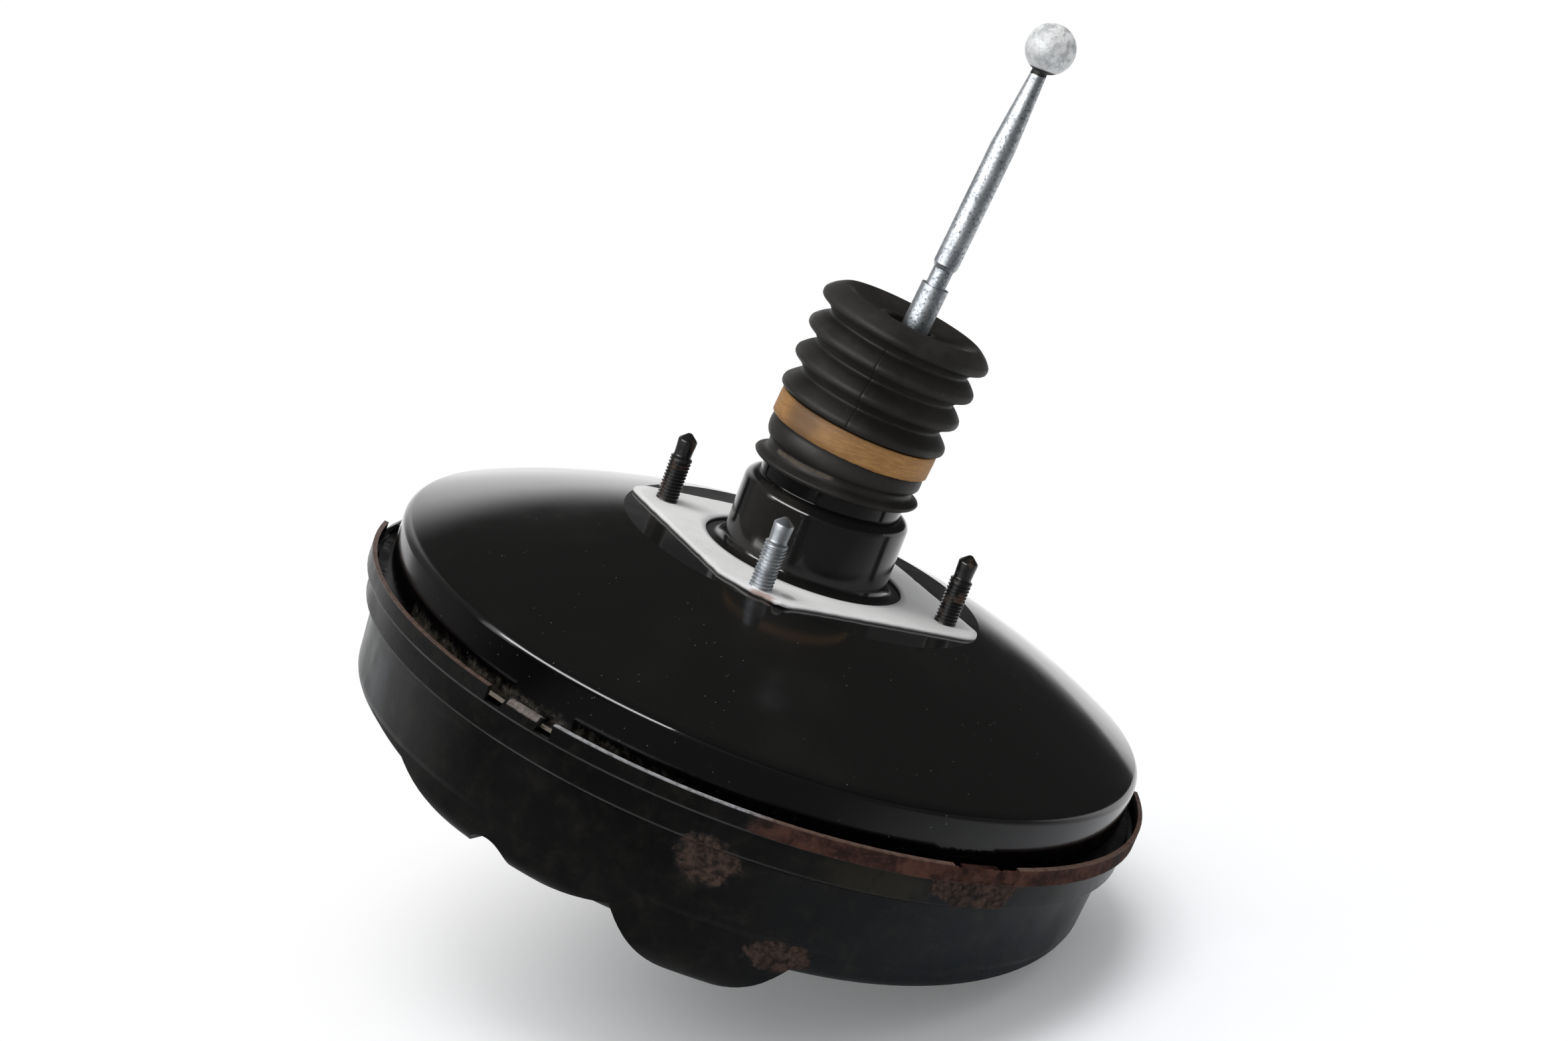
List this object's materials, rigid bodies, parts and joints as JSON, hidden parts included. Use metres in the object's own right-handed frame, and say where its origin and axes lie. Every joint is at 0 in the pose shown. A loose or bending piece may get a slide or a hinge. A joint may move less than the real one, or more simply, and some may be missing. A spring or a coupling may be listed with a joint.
{
  "type": "brake booster",
  "caption": "Round vacuum brake booster: domed rear shell crimped into a drum-shaped front shell, firewall studs, rubber boot and a ball-ended push rod that drives a sprung diaphragm piston.",
  "frame": {"origin": "centre of the firewall stud square, on the gasket's outer face", "axes": "+Z along the booster's axis towards the pedal; X and Y along the sides of the stud square"},
  "size_m": [0.286, 0.286, 0.339],
  "materials": {
    "gloss_black": "gloss",
    "satin_black": "satin, rusted at the rim",
    "gasket": "matt",
    "black_steel": "satin",
    "zinc": "zinc plated",
    "steel": "pressed",
    "spring_steel": "oiled",
    "rubber": "matt",
    "tan_fibre": "fibrous",
    "pale_plastic": "moulded",
    "foam": "open foam"
  },
  "bodies": {
    "housing": {"rear_shell": "gloss_black", "front_shell": "satin_black", "firewall_gasket": "gasket", "stud_plate": "steel", "firewall_studs": "black_steel", "bright_firewall_stud": "zinc", "master_cylinder_plate": "steel", "master_cylinder_studs": "zinc", "vacuum_grommet": "rubber", "neck_seal": "rubber", "neck_bush": "pale_plastic", "bush_retainer": "steel", "boot": "rubber", "boot_band": "tan_fibre", "diaphragm": "rubber"},
    "power_piston": {"valve_body": "pale_plastic", "diaphragm_plate": "steel", "reaction_disc": "rubber", "output_rod": "zinc", "adjusting_tip": "zinc", "rod_retainer": "steel", "return_spring": "spring_steel", "poppet_valve": "rubber", "poppet_spring": "spring_steel", "poppet_retainer": "steel", "air_filter": "foam", "stop_key": "steel"},
    "plunger": {"valve_plunger": "steel", "spring_seat": "steel", "rod_return_spring": "spring_steel"},
    "push_rod": {"input_rod": "zinc", "rod_sleeve": "zinc", "pedal_rod": "zinc"}
  },
  "joints": [
    {"name": "stroke", "type": "slide", "parent": "housing", "child": "power_piston", "axis": [0, 0, -1], "range_m": [0, 0.032], "stiffness_N_per_m": 4000, "springref_m": -0.03, "deforming": ["boot", "diaphragm", "return_spring"]},
    {"name": "valve_travel", "type": "slide", "parent": "power_piston", "child": "plunger", "axis": [0, 0, -1], "range_m": [0, 0.0015], "stiffness_N_per_m": 8000, "springref_m": -0.004, "deforming": ["boot", "rod_return_spring"]},
    {"name": "rod_tilt", "type": "hinge", "parent": "plunger", "child": "push_rod", "pos_m": [0, 0, 0.006], "axis": [0.5779, 0.8161, 0], "range_deg": [-9.4, 0], "deforming": ["boot"]}
  ]
}
